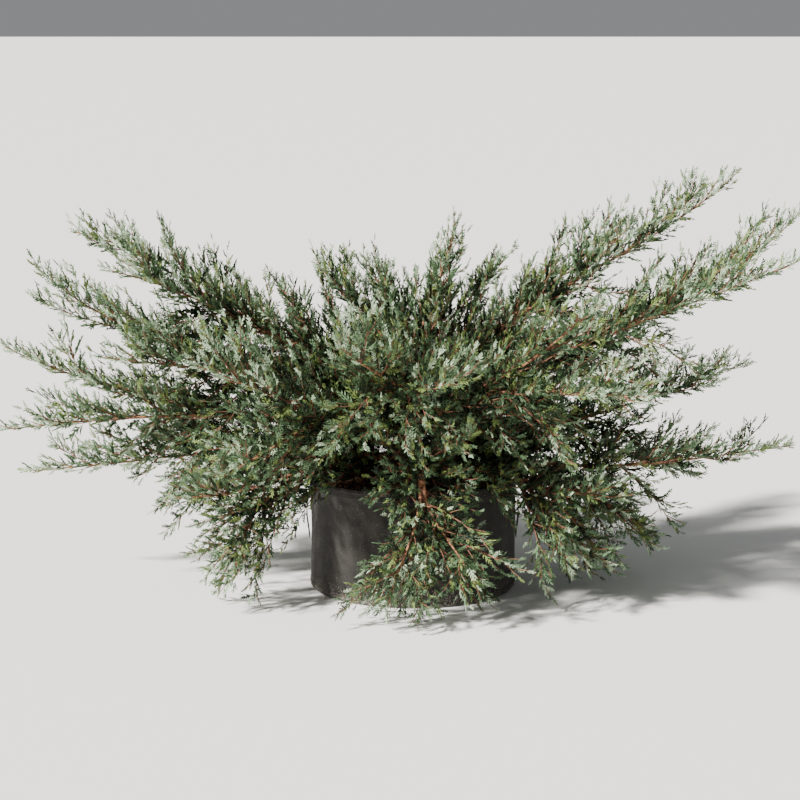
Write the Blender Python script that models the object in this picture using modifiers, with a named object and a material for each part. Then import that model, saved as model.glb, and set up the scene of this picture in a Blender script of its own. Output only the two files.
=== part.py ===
"""Potted hetzii juniper: a wide, arching evergreen shrub in a felt grow bag.

One unit is one metre, +Z is up. The origin is the centre of the bag's underside,
on the ground. +X is to the right of a viewer in front of the plant and -Y is
towards that viewer. A bearing is an angle in plan, in degrees from +X towards +Y.

The short trunk stands on the bark mix in the bag. Each bough is one tapering limb
that leaves the trunk, arches over the rim and ends in a fork, where two masses of
foliage go on from it. Four more masses stand on the trunk's own tip. A mass is a
stem with twigs and toothed sprays, all fused in one solid.
"""

import math
import random
from typing import NamedTuple

import bmesh
import bpy
import numpy as np
from mathutils import Matrix, Vector

# clearance between pieces that touch
GAP = 0.0003

# grow bag, a turned felt shell with a hem and two webbing handles
BAG_RADIUS = 0.215
BAG_HEIGHT = 0.235
BAG_WALL = 0.004
BAG_CORNER = 0.008
HEM_HEIGHT = 0.022
HEM_PROUD = 0.0015
BAG_STEPS = 36
HANDLE_WIDTH = 0.028
HANDLE_THICKNESS = 0.002
HANDLE_FOOT = 0.100
HANDLE_TOP = 0.205
HANDLE_BOW = 0.005
HANDLE_STEPS = 6
BAG_SMOOTH_ANGLE = 35.0

# bark mix that fills the bag
SOIL_TOP = 0.205

# trunk, from its flat foot on the bark mix to the fork at its tip
TRUNK_FOOT = (-0.012, 0.000)
TRUNK_LEAN = (0.004, 0.016)
TRUNK_HEIGHT = 0.200
TRUNK_RADIUS = 0.0235
TRUNK_TIP_RADIUS = 0.0125
TRUNK_RINGS = 11
RING_CROWDING = 1.5
FLARE_RADIUS = 0.013
FLARE_HEIGHT = 0.016
FLARE_LOBES = 4
FLARE_LOBE_DEPTH = 0.20
FLARE_LOBE_TURN = 0.6

# limbs: each leaves the trunk a little steeper than the line to its fork
LIMB_RADIUS = 0.0087
LIMB_WAIST_RADIUS = 0.0066
LIMB_WAIST_SHARE = 0.8
LIMB_LIFT = 16.0
LIMB_POINTS = 6
KNUCKLE_RADIUS = 0.0092
KNUCKLE_LENGTH = 0.014
BOUGH_ARCH = 0.030
RIM_PASS = BAG_HEIGHT + 0.022
BARK_SMOOTH_ANGLE = 50.0

# stem of a mass, from the fork of its limb or the trunk's tip
STEM_RADIUS = 0.0042
STEM_TIP_RADIUS = 0.0020
STEM_POINTS = 7
STEM_SHARE = 0.90
CORE_SWELL = 0.0085
CORE_ROOM = 0.38
STUB = 0.008
FORK_OFFSET = 0.0051
CROWN_OFFSET = 0.0070
CROWN_TURNS = (190, 280, 10, 100)

# outline of a mass along its stem, as shares of the stem and of its half width
SWELL_START = 0.05
SWELL_SPAN = 0.30
SWELL_CURVE = 0.6
NARROW_SPAN = 0.75
NARROW_CURVE = 1.5
TIP_WIDTH = 0.25

# sites of the sprays along a stem, and how they leave it
SITE_SPACING = 0.055
FEWEST_SITES = 5
FIRST_SITE = 0.07
LAST_SITE = 0.84
SITE_JITTER = (0.3, 0.7)
GOLDEN_TURN = 0.618034
FIRST_TURN = 0.25
OPEN_ANGLE = 50.0
TIP_ANGLE = 26.0
UPPER_SWING = 105.0
HANGING = -30
TRIED_SIZES = (1.0, 0.8, 0.62)
TRIED_SWINGS = (0, 28, -28, 56, -56)

# twigs: every third site has one, with a spray at its end and one on its side
TWIG_RADIUS = 0.0022
TWIG_TIP_RADIUS = 0.0014
TWIG_EVERY = 3
TWIG_SHARE = 0.50
TWIG_LAP = 0.004
SIDE_SHARE = 0.55
SIDE_ANGLE = 40.0
SIDE_SIZE = 0.6

# sprays: toothed blades with a ridge on both faces
LEAF_LONGEST = 0.165
LEAF_SHORTEST = 0.045
LEAF_SMALLEST = 0.036
LEAF_WIDTH = 0.36
LEAF_THICKNESS = 0.085
LEAF_ROOT = -0.09
LEAF_RIDGE = 0.42
TIP_SPRAY_ROOT = 0.86

# the space that a mass keeps to
CELL_MARGIN = 0.0045
LIMB_MARGIN = 0.0060
GROUND_MARGIN = 0.0080
BAG_MARGIN = 0.0120

# the middle of the crown, which the sprays turn their faces away from
HEART = (0.0, 0.0, 0.30)
FACE_SWING = 40.0


class Tip(NamedTuple):
    """The end of a mass: where it is, how it points and how wide the mass is."""

    turn: float
    out: float
    up: float
    climb: float
    width: float


class Bough(NamedTuple):
    """A limb by the height of its foot and its bare share, and its two masses."""

    name: str
    foot: float
    bare: float
    lead: Tip
    side: Tip


BOUGHS = (
    Bough("left_high", 0.342, 0.42, Tip(172, 0.713, 0.728, 8, 0.080), Tip(187, 0.612, 0.664, 12, 0.080)),
    Bough("left_long", 0.298, 0.29, Tip(178, 0.783, 0.668, 45, 0.098), Tip(193, 0.640, 0.500, 10, 0.092)),
    Bough("left_middle", 0.275, 0.29, Tip(172, 0.877, 0.485, 25, 0.086), Tip(187, 0.837, 0.345, -5, 0.080)),
    Bough("left_low", 0.243, 0.34, Tip(175, 0.812, 0.225, -4, 0.075), Tip(155, 0.620, 0.290, 8, 0.092)),
    Bough("left_front", 0.264, 0.53, Tip(203, 0.513, 0.225, 2, 0.070), Tip(212, 0.480, 0.085, -35, 0.080)),
    Bough("front_left", 0.323, 0.31, Tip(222, 0.560, 0.520, 20, 0.098), Tip(224, 0.520, 0.300, -8, 0.092)),
    Bough("front_high", 0.335, 0.30, Tip(250, 0.430, 0.570, 35, 0.092), Tip(281, 0.430, 0.490, 10, 0.092)),
    Bough("front_low", 0.255, 0.62, Tip(262, 0.380, 0.030, -70, 0.092), Tip(288, 0.390, 0.090, -50, 0.092)),
    Bough("front_right", 0.318, 0.28, Tip(318, 0.480, 0.625, 35, 0.098), Tip(321, 0.570, 0.455, 5, 0.098)),
    Bough("right_front", 0.272, 0.52, Tip(326, 0.500, 0.240, 0, 0.075), Tip(333, 0.400, 0.085, -45, 0.075)),
    Bough("right_low", 0.243, 0.38, Tip(7, 0.820, 0.275, 5, 0.070), Tip(352, 0.500, 0.095, -40, 0.070)),
    Bough("right_back", 0.270, 0.30, Tip(20, 0.774, 0.425, 15, 0.092), Tip(25, 0.700, 0.170, -20, 0.098)),
    Bough("right_long", 0.293, 0.29, Tip(3, 0.799, 0.775, 50, 0.098), Tip(350, 0.775, 0.690, 25, 0.086)),
    Bough("right_high", 0.345, 0.31, Tip(7, 0.688, 0.863, 45, 0.086), Tip(20, 0.447, 0.766, 60, 0.086)),
    Bough("back_right", 0.325, 0.27, Tip(58, 0.620, 0.600, 25, 0.104), Tip(47, 0.640, 0.400, 5, 0.104)),
    Bough("back", 0.295, 0.30, Tip(98, 0.600, 0.560, 25, 0.104), Tip(84, 0.590, 0.310, -5, 0.104)),
    Bough("back_left", 0.314, 0.27, Tip(138, 0.640, 0.590, 25, 0.104), Tip(124, 0.600, 0.380, 5, 0.104)),
)

CROWN = {
    "crown_left": Tip(172, 0.200, 0.680, 65, 0.092),
    "crown_top": Tip(10, 0.089, 0.756, 80, 0.092),
    "crown_right": Tip(32, 0.215, 0.670, 60, 0.092),
    "crown_back": Tip(105, 0.230, 0.640, 50, 0.098),
}


def clear_scene():
    for thing in list(bpy.data.objects):
        bpy.data.objects.remove(thing, do_unlink=True)


def make_collection(name):
    """A fresh collection linked to the scene."""
    collection = bpy.data.collections.new(name)
    bpy.context.scene.collection.children.link(collection)
    return collection


def make_material(name, colour, roughness):
    material = bpy.data.materials.new(name)
    material.use_nodes = True
    shader = material.node_tree.nodes["Principled BSDF"]
    shader.inputs["Base Color"].default_value = (*colour, 1.0)
    shader.inputs["Roughness"].default_value = roughness
    shader.inputs["Metallic"].default_value = 0.0
    return material


def add_object(name, mesh, collection, material=None):
    thing = bpy.data.objects.new(name, mesh)
    collection.objects.link(thing)
    if material:
        thing.data.materials.append(material)
    return thing


def mesh_from(bm, name):
    mesh = bpy.data.meshes.new(name)
    bm.to_mesh(mesh)
    bm.free()
    return mesh


def spot(turn, out, up):
    """The place at this bearing, distance from the axis and height."""
    angle = math.radians(turn)
    return Vector((out * math.cos(angle), out * math.sin(angle), up))


def heading(turn, climb):
    """The direction at this bearing that climbs by this angle."""
    slope = math.radians(climb)
    level = spot(turn, math.cos(slope), 0.0)
    return Vector((level.x, level.y, math.sin(slope)))


def bearing(vector):
    return math.degrees(math.atan2(vector.y, vector.x))


def swept(start, start_heading, end, end_heading, count):
    """Points along a smooth curve between two places with these headings."""
    reach = (end - start).length
    points = []
    for index in range(count):
        t = index / (count - 1)
        a = 2 * t**3 - 3 * t**2 + 1
        b = t**3 - 2 * t**2 + t
        c = -2 * t**3 + 3 * t**2
        d = t**3 - t**2
        points.append(a * start + b * reach * start_heading + c * end + d * reach * end_heading)
    return points


def path_at(points, share):
    """The place and direction at this share of a path's points."""
    place = share * (len(points) - 1)
    index = min(int(place), len(points) - 2)
    part = place - index
    step = points[index + 1] - points[index]
    return points[index] + part * step, step.normalized()


def path_length(points):
    return sum((b - a).length for a, b in zip(points, points[1:]))


def tube(name, points, radii, half_sides, collection):
    """A closed round bar along the points; it has 4 sides and 2 more for each half side."""
    curve = bpy.data.curves.new(name, "CURVE")
    curve.dimensions = "3D"
    curve.bevel_depth = 1.0
    curve.bevel_resolution = half_sides
    curve.use_fill_caps = True
    spline = curve.splines.new("POLY")
    spline.points.add(len(points) - 1)
    for point, place, radius in zip(spline.points, points, radii):
        point.co = (*place, 1.0)
        point.radius = radius
    line = bpy.data.objects.new(name + "_line", curve)
    collection.objects.link(line)
    bpy.context.view_layer.update()
    depsgraph = bpy.context.evaluated_depsgraph_get()
    mesh = bpy.data.meshes.new_from_object(line.evaluated_get(depsgraph))
    bpy.data.objects.remove(line, do_unlink=True)
    bpy.data.curves.remove(curve)
    mesh.name = name
    bm = bmesh.new()
    bm.from_mesh(mesh)
    bmesh.ops.remove_doubles(bm, verts=bm.verts, dist=0.00002)
    bm.to_mesh(mesh)
    bm.free()
    return add_object(name, mesh, collection)


def apply_modifiers(thing):
    """Replace an object's mesh with what its modifiers make of it."""
    bpy.context.view_layer.update()
    depsgraph = bpy.context.evaluated_depsgraph_get()
    old = thing.data
    thing.data = bpy.data.meshes.new_from_object(thing.evaluated_get(depsgraph))
    thing.data.name = thing.name
    thing.modifiers.clear()
    bpy.data.meshes.remove(old)


def shells(bm):
    """The separate closed shells of a mesh, as lists of faces."""
    left = set(bm.faces)
    found = []
    while left:
        stack = [left.pop()]
        shell = list(stack)
        while stack:
            face = stack.pop()
            for edge in face.edges:
                for other in edge.link_faces:
                    if other in left:
                        left.remove(other)
                        stack.append(other)
                        shell.append(other)
        found.append(shell)
    return found


def keep_largest_shell(thing):
    """Fill hollows that fusing sealed, and drop loose scraps."""
    bm = bmesh.new()
    bm.from_mesh(thing.data)
    found = shells(bm)
    found.sort(key=len)
    for shell in found[:-1]:
        bmesh.ops.delete(bm, geom=shell, context="FACES")
    bm.to_mesh(thing.data)
    bm.free()


def fuse(thing, pieces):
    """Join the pieces to the object with one union, and remove them."""
    group = make_collection(thing.name + "_pieces")
    for piece in pieces:
        for holder in list(piece.users_collection):
            holder.objects.unlink(piece)
        group.objects.link(piece)
    union = thing.modifiers.new("fuse", "BOOLEAN")
    union.operation = "UNION"
    union.operand_type = "COLLECTION"
    union.collection = group
    union.solver = "EXACT"
    apply_modifiers(thing)
    for piece in pieces:
        mesh = piece.data
        bpy.data.objects.remove(piece, do_unlink=True)
        bpy.data.meshes.remove(mesh)
    bpy.data.collections.remove(group)
    keep_largest_shell(thing)


def smooth(thing, angle):
    thing.data.shade_smooth()
    thing.data.set_sharp_from_angle(angle=math.radians(angle))


def make_turned(name, profile, collection, material):
    """A round piece turned from a profile of (radius, height) that runs down its outer side."""
    bm = bmesh.new()
    verts = [bm.verts.new((radius, 0.0, height)) for radius, height in profile]
    for a, b in zip(verts, verts[1:]):
        bm.edges.new((a, b))
    piece = add_object(name, mesh_from(bm, name), collection, material)
    screw = piece.modifiers.new("turn", "SCREW")
    screw.axis = "Z"
    screw.steps = BAG_STEPS
    screw.render_steps = BAG_STEPS
    screw.use_merge_vertices = True
    screw.merge_threshold = 0.0001
    apply_modifiers(piece)
    smooth(piece, BAG_SMOOTH_ANGLE)
    return piece


def make_bag(collection, material):
    """The felt bag: its profile runs from the floor up the inside and down the outside."""
    inner = BAG_RADIUS - BAG_WALL
    hem = BAG_RADIUS + HEM_PROUD
    profile = (
        (0.0, BAG_WALL),
        (inner - BAG_CORNER, BAG_WALL),
        (inner, BAG_WALL + BAG_CORNER),
        (inner, BAG_HEIGHT),
        (hem, BAG_HEIGHT),
        (hem, BAG_HEIGHT - HEM_HEIGHT),
        (BAG_RADIUS, BAG_HEIGHT - HEM_HEIGHT),
        (BAG_RADIUS, BAG_CORNER),
        (BAG_RADIUS - BAG_CORNER, 0.0),
        (0.0, 0.0),
    )
    return make_turned("grow_bag", profile, collection, material)


def make_soil(collection, material):
    """The bark mix, which fills the bag up to its level top and follows the bag's corner."""
    radius = BAG_RADIUS - BAG_WALL - GAP
    floor = BAG_WALL + GAP
    profile = (
        (0.0, SOIL_TOP),
        (radius, SOIL_TOP),
        (radius, floor + BAG_CORNER),
        (radius - BAG_CORNER, floor),
        (0.0, floor),
    )
    return make_turned("bark_mix", profile, collection, material)


def make_handle(name, side, collection, material):
    """A webbing strap sewn to the bag at both ends and bowed out between them."""
    bm = bmesh.new()
    bmesh.ops.create_grid(bm, x_segments=HANDLE_STEPS, y_segments=1, size=0.5)
    for vert in bm.verts:
        share = vert.co.x + 0.5
        across = vert.co.y * HANDLE_WIDTH
        bow = HANDLE_BOW * math.sin(math.pi * share) ** 2
        out = BAG_RADIUS + GAP + bow
        vert.co = (side * out, across, HANDLE_FOOT + share * (HANDLE_TOP - HANDLE_FOOT))
    bmesh.ops.recalc_face_normals(bm, faces=bm.faces)
    outward = sum(face.normal.x * side for face in bm.faces)
    if outward < 0:
        bmesh.ops.reverse_faces(bm, faces=bm.faces)
    handle = add_object(name, mesh_from(bm, name), collection, material)
    thickness = handle.modifiers.new("webbing", "SOLIDIFY")
    thickness.thickness = HANDLE_THICKNESS
    thickness.offset = 1.0
    return handle


def trunk_radius(share):
    """The radius at this share of the height: taper, and the flare at the foot."""
    taper = TRUNK_RADIUS + share * (TRUNK_TIP_RADIUS - TRUNK_RADIUS)
    return taper + FLARE_RADIUS * math.exp(-share * TRUNK_HEIGHT / FLARE_HEIGHT)


def trunk_axis():
    """The leaning line of the trunk, upright where it leaves the bark mix."""
    foot = Vector((*TRUNK_FOOT, SOIL_TOP + GAP))
    points = []
    for index in range(TRUNK_RINGS):
        share = (index / (TRUNK_RINGS - 1)) ** RING_CROWDING
        points.append(trunk_place(foot.z + share * TRUNK_HEIGHT))
    return points


def make_trunk(name, grow, collection):
    """The trunk with root buttresses; grow makes a fatter copy to cut limbs with."""
    axis = trunk_axis()
    foot = axis[0]
    radii = [trunk_radius((point.z - foot.z) / TRUNK_HEIGHT) + grow for point in axis]
    trunk = tube(name, axis, radii, 4, collection)
    for vert in trunk.data.vertices:
        height = vert.co.z - foot.z
        around = math.atan2(vert.co.y - foot.y, vert.co.x - foot.x)
        depth = FLARE_LOBE_DEPTH * math.exp(-height / FLARE_HEIGHT)
        lobe = 1 + depth * math.cos(FLARE_LOBES * around + FLARE_LOBE_TURN)
        vert.co.x = foot.x + (vert.co.x - foot.x) * lobe
        vert.co.y = foot.y + (vert.co.y - foot.y) * lobe
    return trunk


def trunk_place(height):
    """The trunk's centre at this height above the ground; it leans more the higher it is."""
    lean = ((height - SOIL_TOP - GAP) / TRUNK_HEIGHT) ** 2
    return Vector((TRUNK_FOOT[0] + TRUNK_LEAN[0] * lean, TRUNK_FOOT[1] + TRUNK_LEAN[1] * lean, height))


def fork_of(bough):
    """The fork that ends the limb, the tips of its two masses, and the way ahead."""
    lead = spot(bough.lead.turn, bough.lead.out, bough.lead.up)
    side = spot(bough.side.turn, bough.side.out, bough.side.up)
    foot = trunk_place(bough.foot)
    middle = (lead + side) / 2
    fork = foot.lerp(middle, bough.bare)
    fork.z = max(fork.z + BOUGH_ARCH, RIM_PASS)
    return fork, lead, side, (middle - fork).normalized()


def limb_path(bough, fork, ahead):
    """The limb's points, from the trunk's axis to the fork."""
    foot = trunk_place(bough.foot)
    level = bearing(fork - foot)
    rise = math.degrees(math.asin((fork - foot).normalized().z))
    return swept(foot, heading(level, rise + LIMB_LIFT), fork, ahead, LIMB_POINTS)


def limb_radii(points):
    """Taper from the foot to a waist, then a knuckle that carries the two stems."""
    waist = LIMB_WAIST_SHARE * path_length(points)
    radii = []
    for count in range(1, len(points)):
        share = min(1.0, path_length(points[:count]) / waist)
        radii.append(LIMB_RADIUS + share * (LIMB_WAIST_RADIUS - LIMB_RADIUS))
    return radii + [KNUCKLE_RADIUS]


def mass_axis(start, ahead, tip):
    """A short stub square to the fork, then a sweep to the tip."""
    end = spot(tip.turn, tip.out, tip.up)
    stub = start + STUB * ahead
    end_heading = heading(bearing(end - stub), tip.climb)
    return [start] + swept(stub, ahead, end, end_heading, STEM_POINTS)


def width_at(share, tip):
    """Half width of the foliage: it swells from the fork and narrows to the tip."""
    swell = min(1.0, (share + SWELL_START) / SWELL_SPAN) ** SWELL_CURVE
    narrow = 1 - max(0.0, (share - SWELL_SPAN) / NARROW_SPAN) ** NARROW_CURVE
    return tip.width * swell * max(TIP_WIDTH, narrow)


class Space:
    """Every axis of the plant, to tell which mass a place belongs to."""

    def __init__(self):
        self.starts = []
        self.ends = []
        self.radii = []
        self.owners = []

    def add(self, owner, points, radius):
        for a, b in zip(points, points[1:]):
            self.starts.append(tuple(a))
            self.ends.append(tuple(b))
            self.radii.append(radius)
            self.owners.append(owner)

    def close(self):
        self.starts = np.array(self.starts)
        self.steps = np.array(self.ends) - self.starts
        self.lengths = np.maximum((self.steps**2).sum(axis=1), 1e-12)
        self.radii = np.array(self.radii)
        self.owners = np.array(self.owners)
        self.limbs = self.owners == "limb"

    def distances(self, places):
        """Distance from each place to each straight stretch of axis."""
        offset = places[:, None, :] - self.starts[None]
        share = np.clip((offset * self.steps[None]).sum(axis=2) / self.lengths, 0, 1)
        return np.linalg.norm(offset - share[..., None] * self.steps[None], axis=2)

    def free(self, owner, places):
        """True where every place is nearest to the owner and clear of all wood and the bag."""
        height = places[:, 2]
        out = np.hypot(places[:, 0], places[:, 1])
        if height.min() < GROUND_MARGIN:
            return False
        if ((out < BAG_RADIUS + BAG_MARGIN) & (height < BAG_HEIGHT + LIMB_MARGIN)).any():
            return False
        far = self.distances(places)
        own = far[:, self.owners == owner].min(axis=1)
        others = far[:, (self.owners != owner) & ~self.limbs].min(axis=1)
        wood = (far[:, self.limbs] - self.radii[self.limbs]).min(axis=1)
        return bool(((others - own) > CELL_MARGIN).all() and (wood > LIMB_MARGIN).all())


def leaf_outline():
    """A spray's edge around its ridge: tip, tooth, notch, root, notch, tooth."""
    return (
        (1.00, 0.00),
        (0.70, 0.42),
        (0.46, 0.25),
        (LEAF_ROOT, 0.00),
        (0.26, -0.27),
        (0.52, -0.50),
    )


def leaf_points(length):
    """The eight corners of a toothed spray that lies along +X from its root."""
    width = LEAF_WIDTH * length
    thick = LEAF_THICKNESS * length
    edge = [(x * length, y * width, 0.0) for x, y in leaf_outline()]
    return edge, [(LEAF_RIDGE * length, 0.0, thick / 2), (LEAF_RIDGE * length, 0.0, -thick / 2)]


def make_leaf(name, length, matrix, collection):
    """A toothed spray, shaped from a flattened sphere of twelve faces."""
    edge, ridge = leaf_points(length)
    bm = bmesh.new()
    bmesh.ops.create_uvsphere(bm, u_segments=len(edge), v_segments=2, radius=1.0)
    for vert in bm.verts:
        if abs(vert.co.z) > 0.5:
            vert.co = ridge[0] if vert.co.z > 0 else ridge[1]
        else:
            around = math.atan2(vert.co.y, vert.co.x) / math.tau
            vert.co = edge[round(around * len(edge)) % len(edge)]
    bmesh.ops.transform(bm, matrix=matrix, verts=bm.verts)
    bmesh.ops.recalc_face_normals(bm, faces=bm.faces)
    return add_object(name, mesh_from(bm, name), collection)


def make_twig(name, start, direction, length, collection):
    """A three-sided tapering twig that starts inside the stem."""
    bm = bmesh.new()
    bmesh.ops.create_cone(
        bm, cap_ends=True, segments=3, radius1=TWIG_RADIUS, radius2=TWIG_TIP_RADIUS, depth=length
    )
    turn = direction.to_track_quat("Z", "Y").to_matrix().to_4x4()
    place = Matrix.Translation(start + direction * (length / 2)) @ turn
    bmesh.ops.transform(bm, matrix=place, verts=bm.verts)
    return add_object(name, mesh_from(bm, name), collection)


def facing_out(place, direction, rng):
    """A matrix at the place with +X along the direction, and +Z turned out of the crown."""
    along = direction.normalized()
    across = along.cross(place - Vector(HEART))
    if across.length < 0.01:
        across = along.orthogonal()
    across.normalize()
    lift = across.cross(along)
    matrix = Matrix((along, across, lift)).transposed().to_4x4()
    roll = math.radians(rng.uniform(-FACE_SWING, FACE_SWING))
    return Matrix.Translation(place) @ matrix @ Matrix.Rotation(roll, 4, "X")


def side_direction(along, angle, roll):
    """The direction that leaves a stem at this angle; roll 0 is its upper side."""
    level = along.cross(Vector((0.0, 0.0, 1.0)))
    if level.length < 0.05:
        level = along.cross(Vector((0.0, 1.0, 0.0)))
    level.normalize()
    upper = level.cross(along)
    out = math.cos(roll) * upper + math.sin(roll) * level
    return (math.cos(angle) * along + math.sin(angle) * out).normalized()


def leaf_samples(length, matrix):
    """Places on a spray that must stay in its mass's space."""
    edge, ridge = leaf_points(length)
    corners = [Vector(point) for point in edge[:3] + edge[4:] + ridge]
    tip = corners[0]
    middles = [(tip + corner) / 2 for corner in corners[1:]]
    return np.array([matrix @ point for point in corners + middles])


def fit_leaf(space, owner, place, along, angle, roll, length, rng):
    """The first spray that fits at a site, tried round the stem and then shorter."""
    for shrink in TRIED_SIZES:
        for swing in TRIED_SWINGS:
            size = length * shrink
            if size < LEAF_SMALLEST:
                continue
            direction = side_direction(along, angle, roll + math.radians(swing))
            matrix = facing_out(place, direction, rng)
            if space.free(owner, leaf_samples(size, matrix)):
                return size, matrix, direction
    return None


def core_radii(space, name, points):
    """The stem's radii: a core that swells mid way, as far as its neighbours leave room."""
    places = np.array([tuple(point) for point in points])
    room = space.distances(places)[:, space.owners != name].min(axis=1)
    radii = []
    for index, gap in enumerate(room):
        share = index / (len(points) - 1)
        taper = STEM_RADIUS + share * (STEM_TIP_RADIUS - STEM_RADIUS)
        swell = CORE_SWELL * math.sin(math.pi * share)
        radii.append(max(taper, min(taper + swell, CORE_ROOM * gap)))
    return radii


def grow_twig(space, name, label, place, direction, size, rng, workshop):
    """A twig with a spray at its end and another on its side."""
    run = size * TWIG_SHARE
    end = place + direction * (run - TWIG_LAP)
    matrix = facing_out(end, direction, rng)
    pieces = [
        make_twig(f"{label}_twig", place, direction, run, workshop),
        make_leaf(f"{label}_end", size - run + TWIG_LAP, matrix, workshop),
    ]
    fork = place + direction * (run * SIDE_SHARE)
    angle = math.radians(SIDE_ANGLE)
    side = fit_leaf(space, name, fork, direction, angle, rng.uniform(0, math.tau), SIDE_SIZE * size, rng)
    if side:
        pieces.append(make_leaf(f"{label}_side", side[0], side[1], workshop))
    return pieces


def grow_mass(name, axis, tip, space, collection, workshop, material):
    """One mass: its stem, then twigs and sprays by a seeded rule, all fused."""
    rng = random.Random(name)
    shown = int(len(axis) * STEM_SHARE)
    stem_points = axis[:shown] + [path_at(axis, STEM_SHARE)[0]]
    stem = tube(name, stem_points, core_radii(space, name, stem_points), 0, collection)
    sites = max(FEWEST_SITES, round(path_length(axis) / SITE_SPACING))
    swing = math.pi if tip.climb < HANGING else math.radians(UPPER_SWING)
    pieces = []
    for site in range(sites):
        label = f"{name}_{site}"
        share = FIRST_SITE + (LAST_SITE - FIRST_SITE) * (site + rng.uniform(*SITE_JITTER)) / sites
        place, along = path_at(axis, share)
        roll = swing * (2 * ((site * GOLDEN_TURN + FIRST_TURN) % 1.0) - 1)
        angle = math.radians(OPEN_ANGLE + (TIP_ANGLE - OPEN_ANGLE) * share)
        length = min(LEAF_LONGEST, max(LEAF_SHORTEST, width_at(share, tip) / math.sin(angle)))
        fitted = fit_leaf(space, name, place, along, angle, roll, length, rng)
        if not fitted:
            continue
        size, matrix, direction = fitted
        if site % TWIG_EVERY == 1 and size > 2 * LEAF_SHORTEST:
            pieces += grow_twig(space, name, label, place, direction, size, rng, workshop)
        else:
            pieces.append(make_leaf(label, size, matrix, workshop))
    root = path_at(axis, TIP_SPRAY_ROOT)[0]
    last = axis[-1] - root
    matrix = facing_out(root, last, rng)
    pieces.append(make_leaf(f"{name}_tip", last.length, matrix, workshop))
    fuse(stem, pieces)
    stem.data.materials.append(material)
    return stem


def make_limb(name, points, cutter, collection, material):
    """A tapering limb whose foot is cut clear of the trunk's side."""
    limb = tube(name, points, limb_radii(points), 1, collection)
    cut = limb.modifiers.new("seat", "BOOLEAN")
    cut.operation = "DIFFERENCE"
    cut.object = cutter
    cut.solver = "EXACT"
    apply_modifiers(limb)
    keep_largest_shell(limb)
    limb.data.materials.append(material)
    smooth(limb, BARK_SMOOTH_ANGLE)
    return limb


def plan_boughs(space):
    """Work out each limb's path and the axes of its two masses."""
    limbs = {}
    masses = {}
    for bough in BOUGHS:
        fork, lead, side, ahead = fork_of(bough)
        path = limb_path(bough, fork, ahead)
        path.insert(-1, fork - KNUCKLE_LENGTH * ahead)
        limbs[bough.name] = path
        space.add("limb", path, KNUCKLE_RADIUS)
        apart = (lead - fork).normalized() - (side - fork).normalized()
        apart = (apart - apart.dot(ahead) * ahead).normalized()
        for label, tip, sign in (("lead", bough.lead, 1), ("side", bough.side, -1)):
            start = fork + GAP * ahead + sign * FORK_OFFSET * apart
            masses[f"mass_{bough.name}_{label}"] = (mass_axis(start, ahead, tip), tip)
    return limbs, masses


def plan_crown(masses):
    """The masses that stand on the trunk's tip, spread round it towards their ends."""
    axis = trunk_axis()
    top = axis[-1]
    ahead = (axis[-1] - axis[-2]).normalized()
    for index, (name, tip) in enumerate(CROWN.items()):
        offset = spot(CROWN_TURNS[index], CROWN_OFFSET, 0.0)
        offset -= offset.dot(ahead) * ahead
        masses["mass_" + name] = (mass_axis(top + GAP * ahead + offset, ahead, tip), tip)


def main():
    clear_scene()
    parts = make_collection("potted_hetzii_juniper")
    cutters = make_collection("cutters")
    felt = make_material("black felt", (0.020, 0.018, 0.016), 0.95)
    webbing = make_material("black webbing", (0.010, 0.010, 0.010), 0.80)
    mix = make_material("bark mix", (0.045, 0.028, 0.018), 0.95)
    bark = make_material("juniper bark", (0.190, 0.085, 0.045), 0.85)
    foliage = make_material("juniper foliage", (0.145, 0.190, 0.110), 0.70)

    make_bag(parts, felt)
    make_soil(parts, mix)
    make_handle("handle_left", -1, parts, webbing)
    make_handle("handle_right", 1, parts, webbing)

    trunk = make_trunk("trunk", 0.0, parts)
    trunk.data.materials.append(bark)
    smooth(trunk, BARK_SMOOTH_ANGLE)
    cutter = make_trunk("trunk_cutter", GAP, cutters)
    cutter.hide_render = True
    cutter.display_type = "WIRE"

    space = Space()
    limbs, masses = plan_boughs(space)
    plan_crown(masses)
    space.add("limb", trunk_axis(), TRUNK_RADIUS)
    for name, (axis, _) in masses.items():
        space.add(name, axis, STEM_RADIUS)
    space.close()

    for name, path in limbs.items():
        make_limb("limb_" + name, path, cutter, parts, bark)
    for name, (axis, tip) in masses.items():
        grow_mass(name, axis, tip, space, parts, cutters, foliage)


main()
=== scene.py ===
"""Looks of the potted hetzii juniper: bark, shoots, sprays of foliage, felt grow bag and bark mix.

Metres, +Z up. A bearing is an angle in plan, in degrees from +X towards +Y. The boughs follow the
same rule as the solids: each limb leaves the trunk, arches over the rim and forks in two stems.
Side branches and shoots leave the wood, and sprays of fine branchlets leave them in turn.
"""

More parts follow.
